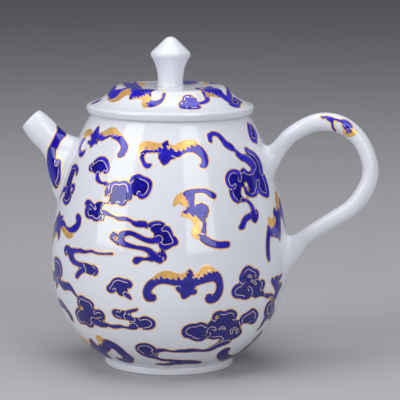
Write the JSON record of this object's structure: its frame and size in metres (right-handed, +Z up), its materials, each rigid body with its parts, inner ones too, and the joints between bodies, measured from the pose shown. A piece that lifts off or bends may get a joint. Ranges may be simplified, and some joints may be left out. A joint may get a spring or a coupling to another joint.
{
  "type": "porcelain teapot",
  "caption": "Porcelain teapot: egg-shaped body on a foot ring, short rising spout, tall loop handle and a loose domed lid with a pointed knob, painted with bats and clouds.",
  "frame": {"origin": "centre of the foot ring's flat resting face, on the body's axis", "axes": "+Z up along the body's axis, +X towards the handle, -X towards the spout"},
  "size_m": [0.1337, 0.088, 0.1223],
  "materials": {
    "glazed_porcelain": "clear glossy glaze over white porcelain, unglazed on the foot's resting face",
    "cobalt_enamel": "glossy ultramarine overglaze enamel in two depths of blue",
    "gilding": "thin bright gold outlines and wing fills"
  },
  "bodies": {
    "pot": {"pot_body": "glazed_porcelain", "spout": "glazed_porcelain", "handle": "glazed_porcelain"},
    "lid": {"lid": "glazed_porcelain", "lid_knob": "glazed_porcelain"}
  },
  "joints": [
    {"name": "lid_lift", "type": "slide", "parent": "pot", "child": "lid", "axis": [0, 0, 1], "range_m": [0, 0.06]}
  ]
}
